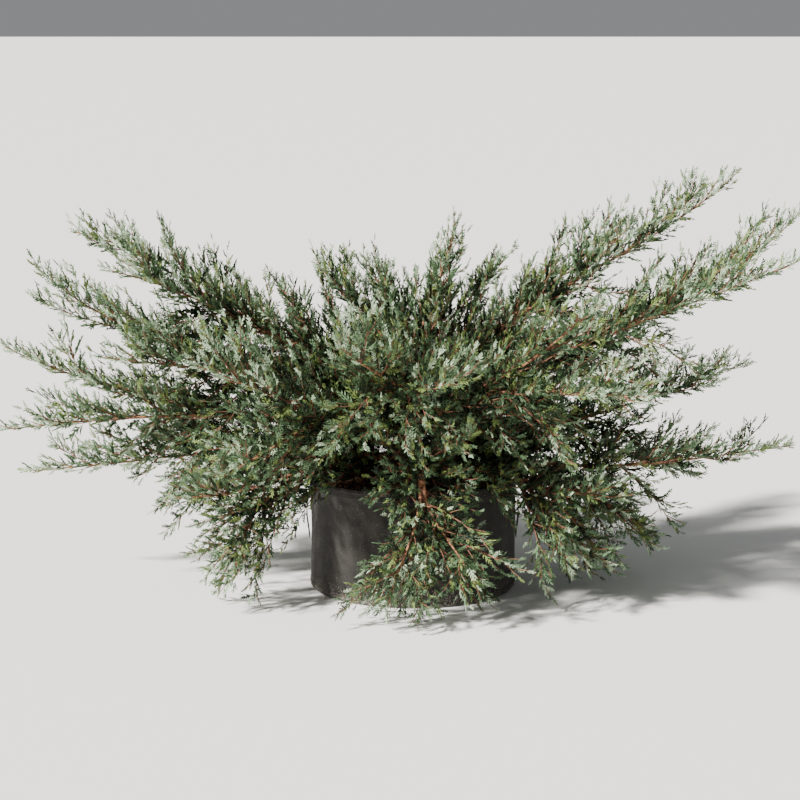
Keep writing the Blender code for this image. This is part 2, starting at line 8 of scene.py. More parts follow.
import math
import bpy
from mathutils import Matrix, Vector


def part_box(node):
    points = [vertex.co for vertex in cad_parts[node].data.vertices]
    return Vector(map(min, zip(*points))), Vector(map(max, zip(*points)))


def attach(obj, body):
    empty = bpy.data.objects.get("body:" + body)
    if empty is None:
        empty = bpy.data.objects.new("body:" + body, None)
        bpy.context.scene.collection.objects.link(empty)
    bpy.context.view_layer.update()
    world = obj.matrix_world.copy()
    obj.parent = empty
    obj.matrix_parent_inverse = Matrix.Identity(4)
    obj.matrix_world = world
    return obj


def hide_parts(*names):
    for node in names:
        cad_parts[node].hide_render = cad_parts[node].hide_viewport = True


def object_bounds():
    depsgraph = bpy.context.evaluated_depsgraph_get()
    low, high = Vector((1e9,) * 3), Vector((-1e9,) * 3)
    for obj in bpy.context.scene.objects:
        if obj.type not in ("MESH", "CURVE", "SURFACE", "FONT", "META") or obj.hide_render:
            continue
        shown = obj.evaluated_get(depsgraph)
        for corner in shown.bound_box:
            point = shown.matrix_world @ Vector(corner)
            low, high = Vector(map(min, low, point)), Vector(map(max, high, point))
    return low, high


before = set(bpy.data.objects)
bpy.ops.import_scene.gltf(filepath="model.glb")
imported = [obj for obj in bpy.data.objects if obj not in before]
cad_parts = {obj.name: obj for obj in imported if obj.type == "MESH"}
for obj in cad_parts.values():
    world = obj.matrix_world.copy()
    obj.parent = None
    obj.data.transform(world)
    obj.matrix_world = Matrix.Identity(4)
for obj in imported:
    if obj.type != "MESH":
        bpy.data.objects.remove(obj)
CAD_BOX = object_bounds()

import zlib
from typing import NamedTuple

import bmesh
import bpy
import numpy as np
from mathutils import Euler, Vector

bl_info = {
    "name": "Potted hetzii juniper",
    "version": (1, 0, 0),
    "blender": (4, 5, 0),
    "location": "View3D > Sidebar > Juniper",
    "description": "Grows a spreading juniper in a felt bag round its packed frame",
    "category": "Object",
}

# sizes of the solids that the looks are built round
GAP = 0.0003
BAG_RADIUS = 0.215
BAG_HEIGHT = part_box("grow_bag")[1].z
BAG_WALL = 0.004
BAG_CORNER = 0.008
HEM_HEIGHT = 0.022
HEM_PROUD = 0.0015
HANDLE_WIDTH = 0.028
HANDLE_THICKNESS = 0.002
HANDLE_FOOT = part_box("handle_left")[0].z
HANDLE_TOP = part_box("handle_left")[1].z
HANDLE_BOW = 0.005
SOIL_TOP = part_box("bark_mix")[1].z
TRUNK_FOOT = (-0.012, 0.000)
TRUNK_LEAN = (0.004, 0.016)
TRUNK_HEIGHT = 0.200
TRUNK_RADIUS = 0.0235
TRUNK_TIP_RADIUS = 0.0125
FLARE_RADIUS = 0.013
FLARE_HEIGHT = 0.016
FLARE_LOBES = 4
FLARE_LOBE_DEPTH = 0.20
FLARE_LOBE_TURN = 0.6
LIMB_RADIUS = 0.0087
LIMB_WAIST_RADIUS = 0.0066
LIMB_WAIST_SHARE = 0.8
LIMB_LIFT = 16.0
KNUCKLE_RADIUS = 0.0088
KNUCKLE_START = 0.93
KNUCKLE_RISE = 0.05
BOUGH_ARCH = 0.030
RIM_PASS = BAG_HEIGHT + 0.022
# from the fork to the tip
STEM_RADII = (0.0042, 0.0036, 0.0029, 0.0022, 0.0015, 0.0009)
STUB = 0.008
FORK_OFFSET = 0.0036
FORK_SINK = 0.004
CROWN_OFFSET = 0.0070
CROWN_TURNS = (190, 280, 10, 100)
PATH_POINTS = 24
SWELL_START = 0.05
SWELL_SPAN = 0.30
SWELL_CURVE = 0.6
NARROW_SPAN = 0.75
NARROW_CURVE = 1.5
TIP_WIDTH = 0.25
GOLDEN_TURN = 0.618034
HANGING = -30

# camera: a long lens in front of the plant, a little above it
CAMERA_PLACE = (-0.0263, -4.4555, 1.144)
CAMERA_PITCH = 9.62
CAMERA_LENS = 98.1

# nearly straight up, so that an upright shoot still has a level direction across it
UP = np.array((0.0201, 0.0133, 0.9997))
# the middle of the crown
HEART = np.array((0.0, 0.0, 0.28))


class Tip(NamedTuple):
    """The end of a plume: where it is, how it points and how wide the plume is."""

    turn: float
    out: float
    up: float
    climb: float
    width: float


class Bough(NamedTuple):
    """A limb by the height of its foot and its bare share, and its two plumes."""

    name: str
    foot: float
    bare: float
    lead: Tip
    side: Tip


BOUGHS = (
    Bough("left_high", 0.342, 0.42, Tip(172, 0.713, 0.728, 8, 0.080), Tip(187, 0.612, 0.664, 12, 0.080)),
    Bough("left_long", 0.298, 0.29, Tip(178, 0.783, 0.668, 45, 0.098), Tip(193, 0.640, 0.500, 10, 0.092)),
    Bough("left_middle", 0.275, 0.29, Tip(172, 0.877, 0.485, 25, 0.086), Tip(187, 0.837, 0.345, -5, 0.080)),
    Bough("left_low", 0.243, 0.34, Tip(175, 0.812, 0.225, -4, 0.075), Tip(155, 0.620, 0.290, 8, 0.092)),
    Bough("left_front", 0.264, 0.53, Tip(203, 0.513, 0.225, 2, 0.070), Tip(212, 0.480, 0.085, -35, 0.080)),
    Bough("front_left", 0.323, 0.31, Tip(222, 0.560, 0.520, 20, 0.098), Tip(224, 0.520, 0.300, -8, 0.092)),
    Bough("front_high", 0.335, 0.30, Tip(250, 0.430, 0.570, 35, 0.092), Tip(281, 0.430, 0.490, 10, 0.092)),
    Bough("front_low", 0.255, 0.62, Tip(262, 0.380, 0.030, -70, 0.092), Tip(288, 0.390, 0.090, -50, 0.092)),
    Bough("front_right", 0.318, 0.28, Tip(318, 0.480, 0.625, 35, 0.098), Tip(321, 0.570, 0.455, 5, 0.098)),
    Bough("right_front", 0.272, 0.52, Tip(326, 0.500, 0.240, 0, 0.075), Tip(333, 0.400, 0.085, -45, 0.075)),
    Bough("right_low", 0.243, 0.38, Tip(7, 0.820, 0.275, 5, 0.070), Tip(352, 0.500, 0.095, -40, 0.070)),
    Bough("right_back", 0.270, 0.30, Tip(20, 0.774, 0.425, 15, 0.092), Tip(25, 0.700, 0.170, -20, 0.098)),
    Bough("right_long", 0.293, 0.29, Tip(3, 0.799, 0.775, 50, 0.098), Tip(350, 0.775, 0.690, 25, 0.086)),
    Bough("right_high", 0.345, 0.31, Tip(7, 0.688, 0.863, 45, 0.086), Tip(20, 0.447, 0.766, 60, 0.086)),
    Bough("back_right", 0.325, 0.27, Tip(58, 0.620, 0.600, 25, 0.104), Tip(47, 0.640, 0.400, 5, 0.104)),
    Bough("back", 0.295, 0.30, Tip(98, 0.600, 0.560, 25, 0.104), Tip(84, 0.590, 0.310, -5, 0.104)),
    Bough("back_left", 0.314, 0.27, Tip(138, 0.640, 0.590, 25, 0.104), Tip(124, 0.600, 0.380, 5, 0.104)),
)

CROWN = {
    "crown_left": Tip(172, 0.200, 0.680, 65, 0.092),
    "crown_top": Tip(10, 0.089, 0.756, 80, 0.092),
    "crown_right": Tip(32, 0.215, 0.670, 60, 0.092),
    "crown_back": Tip(105, 0.230, 0.640, 50, 0.098),
}


def linear(code):
    """An sRGB hex colour as linear red, green and blue."""
    shares = [int(code[place : place + 2], 16) / 255 for place in (1, 3, 5)]
    return tuple(s / 12.92 if s <= 0.04045 else ((s + 0.055) / 1.055) ** 2.4 for s in shares)


def size_setting(name, about, size, unit="LENGTH"):
    return bpy.props.FloatProperty(name=name, description=about, default=size, unit=unit)


def colour_setting(name, about, code):
    colour = linear(code)
    return bpy.props.FloatVectorProperty(name=name, description=about, subtype="COLOR", default=colour)


class JuniperSizes(bpy.types.PropertyGroup):
    """Sizes of the shoots and sprays that a user may change."""

    shoot_spacing: size_setting("Shoot spacing", "Distance between shoots along a stem", 0.0195)
    spray_spacing: size_setting("Spray spacing", "Distance between sprays along a shoot", 0.0155)
    spray_length: size_setting("Spray length", "Longest spray, at the foot of a shoot", 0.054)
    branchlet_radius: size_setting(
        "Branchlet radius", "Radius as a share of the spray's length", 0.043, "NONE"
    )
    lift: size_setting("Lift", "How far the shoots turn up towards the light", 0.55, "NONE")


class JuniperColours(bpy.types.PropertyGroup):
    """Colours of the plant and its bag."""

    # glaucous: partly the waxy young growth, partly painted light on the outermost sprays
    glaucous: colour_setting("Glaucous tips", "Waxy young sprays", "#a8bd9f")
    grey_green: colour_setting("Grey green", "Most of the sprays", "#5d7656")
    # mid green: partly older foliage, partly painted shade on sprays set deeper in the crown
    mid_green: colour_setting("Mid green", "Older sprays", "#394f31")
    yellow_green: colour_setting("Yellow green", "Sprays with less wax", "#73854a")
    # painted shade: a near-black green put on the sprays deep in the crown, where shade falls
    inner_green: colour_setting("Inner green", "Sprays deep in the crown", "#1c2a18")
    twig: colour_setting("Twig", "Young bark on the shoots", "#6e4632")
    bark_dark: colour_setting("Bark, furrows", "Dark of the bark", "#4e3325")
    bark_light: colour_setting("Bark, strips", "Light of the bark", "#a87552")
    felt: colour_setting("Felt", "The grow bag", "#242220")


# the foliage's colours, and the number of each as a material of a foliage piece
TONES = ("glaucous", "grey_green", "mid_green", "yellow_green", "inner_green")
GLAUCOUS, GREY, MID, YELLOW, INNER_SHADE = range(len(TONES))


def spot(turn, out, up):
    """The place at this bearing, distance from the axis and height."""
    angle = math.radians(turn)
    return Vector((out * math.cos(angle), out * math.sin(angle), up))


def heading(turn, climb):
    """The direction at this bearing that climbs by this angle."""
    slope = math.radians(climb)
    level = spot(turn, math.cos(slope), 0.0)
    return Vector((level.x, level.y, math.sin(slope)))


def bearing(vector):
    return math.degrees(math.atan2(vector.y, vector.x))


def swept(start, start_heading, end, end_heading, count):
    """Points along a smooth curve between two places with these headings."""
    reach = (end - start).length
    points = []
    for index in range(count):
        t = index / (count - 1)
        a = 2 * t**3 - 3 * t**2 + 1
        b = t**3 - 2 * t**2 + t
        c = -2 * t**3 + 3 * t**2
        d = t**3 - t**2
        points.append(a * start + b * reach * start_heading + c * end + d * reach * end_heading)
    return points


def trunk_place(height):
    """The trunk's centre at this height above the ground; it leans more the higher it is."""
    lean = ((height - SOIL_TOP - GAP) / TRUNK_HEIGHT) ** 2
    return Vector((TRUNK_FOOT[0] + TRUNK_LEAN[0] * lean, TRUNK_FOOT[1] + TRUNK_LEAN[1] * lean, height))


def fork_of(bough):
    """The fork that ends the limb, the tips of its two plumes, and the way ahead."""
    lead = spot(*bough.lead[:3])
    side = spot(*bough.side[:3])
    middle = (lead + side) / 2
    fork = trunk_place(bough.foot).lerp(middle, bough.bare)
    fork.z = max(fork.z + BOUGH_ARCH, RIM_PASS)
    return fork, lead, side, (middle - fork).normalized()


def limb_path(bough, fork, ahead, count):
    """The limb's points, from the trunk's axis to the fork."""
    foot = trunk_place(bough.foot)
    rise = math.degrees(math.asin((fork - foot).normalized().z))
    return swept(foot, heading(bearing(fork - foot), rise + LIMB_LIFT), fork, ahead, count)


def stem_path(start, ahead, tip, count):
    """A short stub square to the fork, then a sweep to the tip."""
    end = spot(*tip[:3])
    stub = start + STUB * ahead
    return [start] + swept(stub, ahead, end, heading(bearing(end - stub), tip.climb), count)


def width_at(share, tip):
    """Half width of the foliage: it swells from the fork and narrows to the tip."""
    swell = np.minimum(1.0, (share + SWELL_START) / SWELL_SPAN) ** SWELL_CURVE
    narrow = 1 - np.maximum(0.0, (share - SWELL_SPAN) / NARROW_SPAN) ** NARROW_CURVE
    return tip.width * swell * np.maximum(TIP_WIDTH, narrow)


def seeded(name):
    """A random generator that gives the same draws for this name each time."""
    return np.random.default_rng(zlib.crc32(name.encode()))


def unit(vectors):
    return vectors / np.maximum(np.linalg.norm(vectors, axis=-1, keepdims=True), 1e-9)


def resampled(points, shares):
    """Places and directions at these shares of a path's length."""
    points = np.array([tuple(point) for point in points])
    steps = np.linalg.norm(np.diff(points, axis=0), axis=1)
    runs = np.concatenate(([0.0], np.cumsum(steps)))
    wanted = np.asarray(shares) * runs[-1]
    place = np.stack([np.interp(wanted, runs, points[:, axis]) for axis in range(3)], axis=1)
    index = np.clip(np.searchsorted(runs, wanted, side="right") - 1, 0, len(steps) - 1)
    return place, unit(points[index + 1] - points[index]), runs[-1]


def sideways(directions):
    """For each direction, the upper side and the level direction across it."""
    level = unit(np.cross(directions, UP))
    return np.cross(level, directions), level


def leaving(directions, angles, rolls):
    """Directions that leave these at these angles; roll 0 is the upper side."""
    upper, level = sideways(directions)
    out = np.cos(rolls)[:, None] * upper + np.sin(rolls)[:, None] * level
    return unit(np.cos(angles)[:, None] * directions + np.sin(angles)[:, None] * out)


def link(name, data):
    thing = bpy.data.objects.new(name, data)
    bpy.context.scene.collection.objects.link(thing)
    return thing


def mesh_from_bmesh(bm, name):
    mesh = bpy.data.meshes.new(name)
    bm.to_mesh(mesh)
    bm.free()
    return mesh


def piece_from_arrays(name, places, faces, materials, slots=None, smooth=False):
    """One piece from joined arrays of places and triangles."""
    mesh = bpy.data.meshes.new(name)
    mesh.from_pydata(places, [], faces)
    for material in materials:
        mesh.materials.append(material)
    if slots is not None:
        mesh.polygons.foreach_set("material_index", slots.astype(np.int32))
    if smooth:
        mesh.shade_smooth()
    mesh.update()
    return link(name, mesh)


def template(bm):
    """The places and triangles of a small shape that is stamped many times."""
    bmesh.ops.triangulate(bm, faces=bm.faces)
    bmesh.ops.recalc_face_normals(bm, faces=bm.faces)
    bm.verts.index_update()
    places = np.array([tuple(vert.co) for vert in bm.verts])
    faces = np.array([[vert.index for vert in face.verts] for face in bm.faces])
    bm.free()
    return places, faces


def stamped(shape, places, turns, sizes):
    """A template put at each place, with its turn (columns are its X, Y, Z) and size."""
    corners, faces = shape
    moved = np.einsum("nij,vj->nvi", turns, corners) * sizes[:, None, None] + places[:, None, :]
    shifts = np.arange(len(places)) * len(corners)
    return moved.reshape(-1, 3), (faces[None] + shifts[:, None, None]).reshape(-1, 3)


def joined(parts):
    """Several pairs of places and triangles as one."""
    places = np.concatenate([part[0] for part in parts])
    shifts = np.cumsum([0] + [len(part[0]) for part in parts[:-1]])
    faces = np.concatenate([part[1] + shift for part, shift in zip(parts, shifts)])
    return places, faces


def bars(centres, radii, sides):
    """Closed bars; centres is (bar, ring, 3) and radii is (bar, ring) or (bar, ring, side)."""
    count, rings = centres.shape[:2]
    along = unit(np.gradient(centres, axis=1))
    upper, level = sideways(along)
    around = np.arange(sides) * math.tau / sides
    if radii.ndim == 2:
        radii = radii[:, :, None]
    out = np.cos(around)[:, None] * upper[:, :, None, :] + np.sin(around)[:, None] * level[:, :, None, :]
    places = centres[:, :, None, :] + radii[..., None] * out
    ring = np.arange(rings - 1)[:, None] * sides
    side = np.arange(sides)[None]
    beside = (side + 1) % sides
    a, b, c, d = ring + side, ring + beside, ring + sides + beside, ring + sides + side
    walls = np.concatenate([np.stack([a, b, c], axis=-1), np.stack([a, c, d], axis=-1)]).reshape(-1, 3)
    fan = np.arange(1, sides - 1)
    foot = np.stack([np.zeros_like(fan), fan + 1, fan], axis=1)
    end = np.stack([np.zeros_like(fan), fan, fan + 1], axis=1) + (rings - 1) * sides
    faces = np.concatenate([walls, foot, end])
    shifts = np.arange(count) * rings * sides
    return places.reshape(-1, 3), (faces[None] + shifts[:, None, None]).reshape(-1, 3)


def add_node(tree, kind, inputs=None, **settings):
    """A node with these settings; an input's value is a number, a colour or a socket to link."""
    made = tree.nodes.new(kind)
    for key, value in settings.items():
        setattr(made, key, value)
    for key, value in (inputs or {}).items():
        if isinstance(value, bpy.types.NodeSocket):
            tree.links.new(value, made.inputs[key])
        else:
            made.inputs[key].default_value = value
    return made


def new_material(name, colour, roughness):
    """A material with a Principled shader, its tree and the shader."""
    material = bpy.data.materials.new(name)
    material.use_nodes = True
    tree = material.node_tree
    shader = tree.nodes["Principled BSDF"]
    shader.inputs["Base Color"].default_value = (*colour, 1.0)
    shader.inputs["Roughness"].default_value = roughness
    return material, tree, shader


def two_tone(tree, factor, low, high, start, end):
    """A ramp from one colour to another between two values of the factor."""
    ramp = add_node(tree, "ShaderNodeValToRGB", {"Fac": factor})
    for element, colour, position in zip(ramp.color_ramp.elements, (low, high), (start, end)):
        element.position = position
        element.color = (*colour, 1.0)
    return ramp.outputs["Color"]


def noise(tree, vector, size, detail=3.0):
    """Noise whose blotches are this many metres across."""
    made = add_node(tree, "ShaderNodeTexNoise", {"Vector": vector, "Scale": 1 / size, "Detail": detail})
    return made.outputs["Fac"]


def bump(tree, shader, height, distance, strength=1.0):
    settings = {"Height": height, "Distance": distance, "Strength": strength}
    made = add_node(tree, "ShaderNodeBump", settings)
    tree.links.new(made.outputs["Normal"], shader.inputs["Normal"])


def foliage_material(name, colour):
    """Scale leaves of juniper: a matte waxy skin, plain so that it can be dealt out by spray."""
    material, _, shader = new_material("juniper foliage, " + name.replace("_", " "), colour, 0.62)
    shader.inputs["Specular IOR Level"].default_value = 0.3
    return material


def textured(name, colour, roughness):
    """A material, its tree and its shader, and the place on the piece to lay a pattern by."""
    made = new_material(name, colour, roughness)
    return *made, add_node(made[1], "ShaderNodeTexCoord").outputs["Object"]


def paint(tree, shader, *ramp):
    """Gives the shader a ramp's colour."""
    tree.links.new(two_tone(tree, *ramp), shader.inputs["Base Color"])


# distance between the bands of Blender's wave texture at scale 1, and the webbing's between ribs
WAVE_PERIOD = 0.314
WEBBING_RIB = 0.0025


def bark_material(colours):
    """Juniper bark: dry, fibrous and red-brown, with darker brown furrows between its strips."""
    material, tree, shader, place = textured("juniper bark", colours.bark_light, 0.85)
    strips = noise(tree, place, size=0.006, detail=4.0)
    fibres = noise(tree, place, size=0.0012, detail=2.0)
    paint(tree, shader, strips, colours.bark_dark, colours.bark_light, 0.38, 0.62)
    bump(tree, shader, fibres, 0.0006, 0.7)
    return material


def felt_material(colours):
    """Needled polypropylene felt: no gloss, fine fuzz, and pale grit dried on near the foot."""
    material, tree, shader, place = textured("black needled felt", colours.felt, 0.95)
    shader.inputs["Specular IOR Level"].default_value = 0.15
    shader.inputs["Sheen Weight"].default_value = 0.12
    shader.inputs["Sheen Roughness"].default_value = 0.6
    dusty = tuple(1.9 * share for share in colours.felt)
    cloud = two_tone(tree, noise(tree, place, size=0.035), colours.felt, dusty, 0.40, 0.75)
    height = add_node(tree, "ShaderNodeSeparateXYZ", {"Vector": place}).outputs["Z"]
    span = {"Value": height, "From Min": 0.004, "From Max": 0.050, "To Min": 0.16, "To Max": -0.02}
    low = add_node(tree, "ShaderNodeMapRange", span).outputs["Result"]
    # grit is drawn about 2 mm across, as finer grains don't show
    grit = noise(tree, place, size=0.002, detail=1.0)
    grain = add_node(tree, "ShaderNodeMath", {0: grit, 1: low}, operation="ADD")
    specks = two_tone(tree, grain.outputs["Value"], (0, 0, 0), (1, 1, 1), 0.70, 0.76)
    layers = {"Factor": specks, "A": cloud, "B": (*linear("#8d867b"), 1.0)}
    mixed = add_node(tree, "ShaderNodeMix", layers, data_type="RGBA")
    tree.links.new(mixed.outputs["Result"], shader.inputs["Base Color"])
    bump(tree, shader, noise(tree, place, size=0.0014), 0.0010, 0.9)
    return material


def webbing_material():
    """Polypropylene webbing: a dull ribbed weave, with ribs about 2.5 mm apart."""
    material, tree, shader, place = textured("black webbing", linear("#2a2828"), 0.75)
    settings = {"Vector": place, "Scale": WAVE_PERIOD / WEBBING_RIB}
    ribs = add_node(tree, "ShaderNodeTexWave", settings, bands_direction="Z").outputs["Fac"]
    paint(tree, shader, ribs, linear("#1c1b1b"), linear("#3c3a39"), 0.2, 0.9)
    bump(tree, shader, ribs, 0.0006, 0.8)
    return material


def mix_material():
    """Composted bark and grit: damp, rough and dark, in crumbs of about 6 mm."""
    material, tree, shader, place = textured("composted bark mix", linear("#3b2c20"), 0.92)
    crumbs = noise(tree, place, size=0.006, detail=4.0)
    paint(tree, shader, crumbs, linear("#241a13"), linear("#6a523c"), 0.35, 0.70)
    bump(tree, shader, crumbs, 0.004, 1.0)
    return material


def chip_material():
    """Torn pine bark: flaky, matte, red-brown on the broken faces."""
    material, tree, shader, place = textured("bark chips", linear("#6b4a35"), 0.88)
    blotches = noise(tree, place, size=0.014)
    paint(tree, shader, blotches, linear("#3a281d"), linear("#94694a"), 0.35, 0.68)
    bump(tree, shader, noise(tree, place, size=0.0025), 0.001, 0.8)
    return material


def thread_material():
    """Bonded polyester thread: slightly glossy, dark grey."""
    return new_material("bonded sewing thread", linear("#4b4846"), 0.55)[0]


# branchlets of a spray: alternate, shorter towards its tip, and not all in one plane
SPRAY_SHAPES = 12
SPRAY_BRANCHLETS = 8
BRANCHLET_WAIST = 0.42
BRANCHLET_ANGLES = (30, 50)
BRANCHLET_CLOSING = 12
BRANCHLET_TILTS = (-0.7, 0.8)
BRANCHLET_LENGTH = 0.42
BRANCHLET_TAPER = 0.16
BRANCHLET_VARIES = (0.75, 1.15)
BRANCHLETS_START = 0.06
BRANCHLETS_SPAN = 0.84


def branchlet(bm, start, direction, length, radius):
    """A lance-shaped branchlet of four faces, widest before its middle, added to the mesh."""
    across = direction.cross(Vector((0.0, 0.0, 1.0))).normalized()
    over = across.cross(direction)
    waist = start + BRANCHLET_WAIST * length * direction
    corners = (
        start - radius * over,
        start + length * direction - 0.3 * radius * over,
        waist + radius * (across + over),
        waist + radius * (over - across),
    )
    bmesh.ops.convex_hull(bm, input=[bm.verts.new(corner) for corner in corners])


def spray_shape(index, radius):
    """A spray of unit length along +X, with its flat side up."""
    rng = seeded(f"spray {index}")
    bm = bmesh.new()
    branchlet(bm, Vector((0, 0, 0)), Vector((1, 0, 0)), 1.0, radius)
    for number in range(SPRAY_BRANCHLETS):
        share = (number + rng.uniform(0.2, 0.9)) / (SPRAY_BRANCHLETS + 1)
        side = 1 if number % 2 else -1
        angle = math.radians(rng.uniform(*BRANCHLET_ANGLES) - BRANCHLET_CLOSING * share)
        tilt = rng.uniform(*BRANCHLET_TILTS)
        flat = side * math.sin(angle) * math.cos(tilt)
        direction = Vector((math.cos(angle), flat, math.sin(angle) * math.sin(tilt)))
        length = (BRANCHLET_LENGTH - BRANCHLET_TAPER * share) * rng.uniform(*BRANCHLET_VARIES)
        start = Vector((BRANCHLETS_START + BRANCHLETS_SPAN * share, 0, 0))
        branchlet(bm, start, direction.normalized(), length, radius)
    return template(bm)


class Shoots(NamedTuple):
    """Curved side shoots: three guide points each, their reach and how far out they are."""

    root: np.ndarray
    middle: np.ndarray
    end: np.ndarray
    reach: np.ndarray
    depth: np.ndarray

    def at(self, index, t):
        """Places and directions along the shoots."""
        a, b, c = self.root[index], self.middle[index], self.end[index]
        t = t[:, None]
        place = (1 - t) ** 2 * a + 2 * t * (1 - t) * b + t**2 * c
        return place, unit((1 - t) * (b - a) + t * (c - b))


# where in its own step along the wood a branch or a spray may be
WITHIN_STEP = (0.2, 0.8)

# a pair is the least and the most, and the follow is how far the outer half turns along the wood
SHORTEST_SHOOT = 0.036
LONGEST_SHOOT = 0.165
SHOOT_WITHIN_STEP = (0.1, 0.9)
SHOOT_ANGLE_VARIES = (0.7, 1.25)
SHOOT_REACH_VARIES = (0.45, 1.05)
SHOOT_LIFT_VARIES = (0.3, 1.3)
SHOOT_FOLLOW = 0.35
HANGING_LIFT = 0.25
OPEN_ANGLE = 50.0
TIP_ANGLE = 24.0
UPPER_SWING = 125.0
BRANCH_SPACING = 0.052
BRANCH_FIRST = 0.04
BRANCH_LAST = 0.80
BRANCH_SPREAD = 1.25
BRANCH_SHORTEST = 0.070
BRANCH_LONGEST = 0.230
BRANCH_ANGLES = (30, 50)
BRANCH_REACH_VARIES = (0.75, 1.2)
BRANCH_FOLLOW = 0.5
BRANCH_WIDTH = 0.050
BRANCH_POINTS = 9
BRANCH_DEPTH = 0.3

# the stem's outer part that carries sprays itself
LEADER_SHARES = (0.45, 0.74, 1.0)
LEADER_REACH = 0.55


def side_branches(path, tip, rng, depth=(0.0, 0.8), rolls=(25, 115), lift=0.4):
    """Longer branches of a stem, alternate to its left and right, that carry shoots of their own."""
    length = resampled(path, [0.0])[2]
    count = max(4, round(length * (BRANCH_LAST - BRANCH_FIRST) / BRANCH_SPACING))
    number = np.arange(count)
    step = number + rng.uniform(*WITHIN_STEP, count)
    share = BRANCH_FIRST + (BRANCH_LAST - BRANCH_FIRST) * step / count
    place, along, _ = resampled(path, share)
    roll = np.where(number % 2, 1, -1) * np.radians(rng.uniform(*rolls, count))
    angle = np.radians(rng.uniform(*BRANCH_ANGLES, count))
    varied = rng.uniform(*BRANCH_REACH_VARIES, count)
    reach = BRANCH_SPREAD * width_at(share, tip) / np.sin(angle) * varied
    reach = np.clip(reach, BRANCH_SHORTEST, BRANCH_LONGEST)
    start = leaving(along, angle, roll)
    lift = 0.0 if tip.climb < HANGING else lift
    turned = unit(start + lift * UP + BRANCH_FOLLOW * along)
    middle = place + 0.5 * reach[:, None] * start
    end = middle + 0.5 * reach[:, None] * turned
    return Shoots(place, middle, end, reach, depth[0] + (depth[1] - depth[0]) * share)


def shoots_of_branches(branches, tip, rng, sizes):
    """The shoots that leave each side branch."""
    groups = []
    narrow = Tip(0, 0, 0, tip.climb, BRANCH_WIDTH)
    shares = np.linspace(0, 1, BRANCH_POINTS)
    for index, depth in enumerate(branches.depth):
        path = branches.at(np.full(BRANCH_POINTS, index), shares)[0]
        groups.append(grow_shoots(path, narrow, rng, sizes, (depth, depth + BRANCH_DEPTH)))
    return groups


def grow_shoots(path, tip, rng, sizes, depth=(0.15, 1.0), first=0.02, last=0.985):
    """Side shoots along a stem, dealt round its upper side, or all round where it hangs."""
    length = resampled(path, [0.0])[2]
    count = max(6, round(length * (last - first) / sizes.shoot_spacing))
    number = np.arange(count)
    share = first + (last - first) * (number + rng.uniform(*SHOOT_WITHIN_STEP, count)) / count
    place, along, _ = resampled(path, share)
    hangs = tip.climb < HANGING
    swing = math.pi if hangs else math.radians(UPPER_SWING)
    dealt = (number * GOLDEN_TURN + 0.25) % 1.0
    roll = swing * (2 * dealt - 1) + rng.normal(0, 0.2, count)
    opening = np.radians(OPEN_ANGLE + (TIP_ANGLE - OPEN_ANGLE) * share)
    angle = opening * rng.uniform(*SHOOT_ANGLE_VARIES, count)
    reach = width_at(share, tip) / np.sin(angle) * rng.uniform(*SHOOT_REACH_VARIES, count)
    reach = np.clip(reach, SHORTEST_SHOOT, LONGEST_SHOOT)
    start = leaving(along, angle, roll)
    lift = sizes.lift * (HANGING_LIFT if hangs else 1.0) * rng.uniform(*SHOOT_LIFT_VARIES, count)
    turned = unit(start + lift[:, None] * UP + SHOOT_FOLLOW * along)
    middle = place + 0.5 * reach[:, None] * start
    end = middle + 0.5 * reach[:, None] * turned
    return Shoots(place, middle, end, reach, depth[0] + (depth[1] - depth[0]) * share)


def leader_shoot(path):
    """The stem's own outer part, which carries sprays as a shoot does."""
    place, _, length = resampled(path, LEADER_SHARES)
    middle = 2 * place[1] - (place[0] + place[2]) / 2
    reach = np.array([LEADER_REACH * length])
    return Shoots(place[:1], middle[None], place[2:], reach, np.array([0.9]))


def pooled(groups):
    return Shoots(*[np.concatenate(arrays) for arrays in zip(*groups)])


GROUND_CLEARANCE = 0.008
BAG_CLEARANCE = 0.007
BOX_MARGIN = 0.006


def inside_reach(places):
    """True for places clear of the ground and the bag, and inside or just past the solids' box."""
    out = np.hypot(places[:, 0], places[:, 1])
    over_bag = places[:, 2] > BAG_HEIGHT + BAG_CLEARANCE
    clear = (out > BAG_RADIUS + BAG_CLEARANCE) | over_bag
    low = np.array(CAD_BOX[0]) - BOX_MARGIN
    high = np.array(CAD_BOX[1]) + BOX_MARGIN
    boxed = ((places > low) & (places < high)).all(axis=1)
    return clear & boxed & (places[:, 2] > GROUND_CLEARANCE)


SPRAY_START = 0.06
SPRAY_SPAN = 0.94
SPRAY_ANGLES = (24, 52)
SPRAY_OPENING = 1.1
SPRAY_CLOSING = 0.75
SPRAY_ROLLS = (-0.6, 0.6)
SPRAY_LIFT = 0.12
SPRAY_TAPER = 0.42
SPRAY_VARIES = (0.62, 1.12)
# shoots shorter than this carry smaller sprays, down to the smallest share
FULL_SHOOT = 0.10
SMALLEST_SHARE = 0.62
SHOOT_SHARE = 0.45
ALONG_SHARE = 0.55


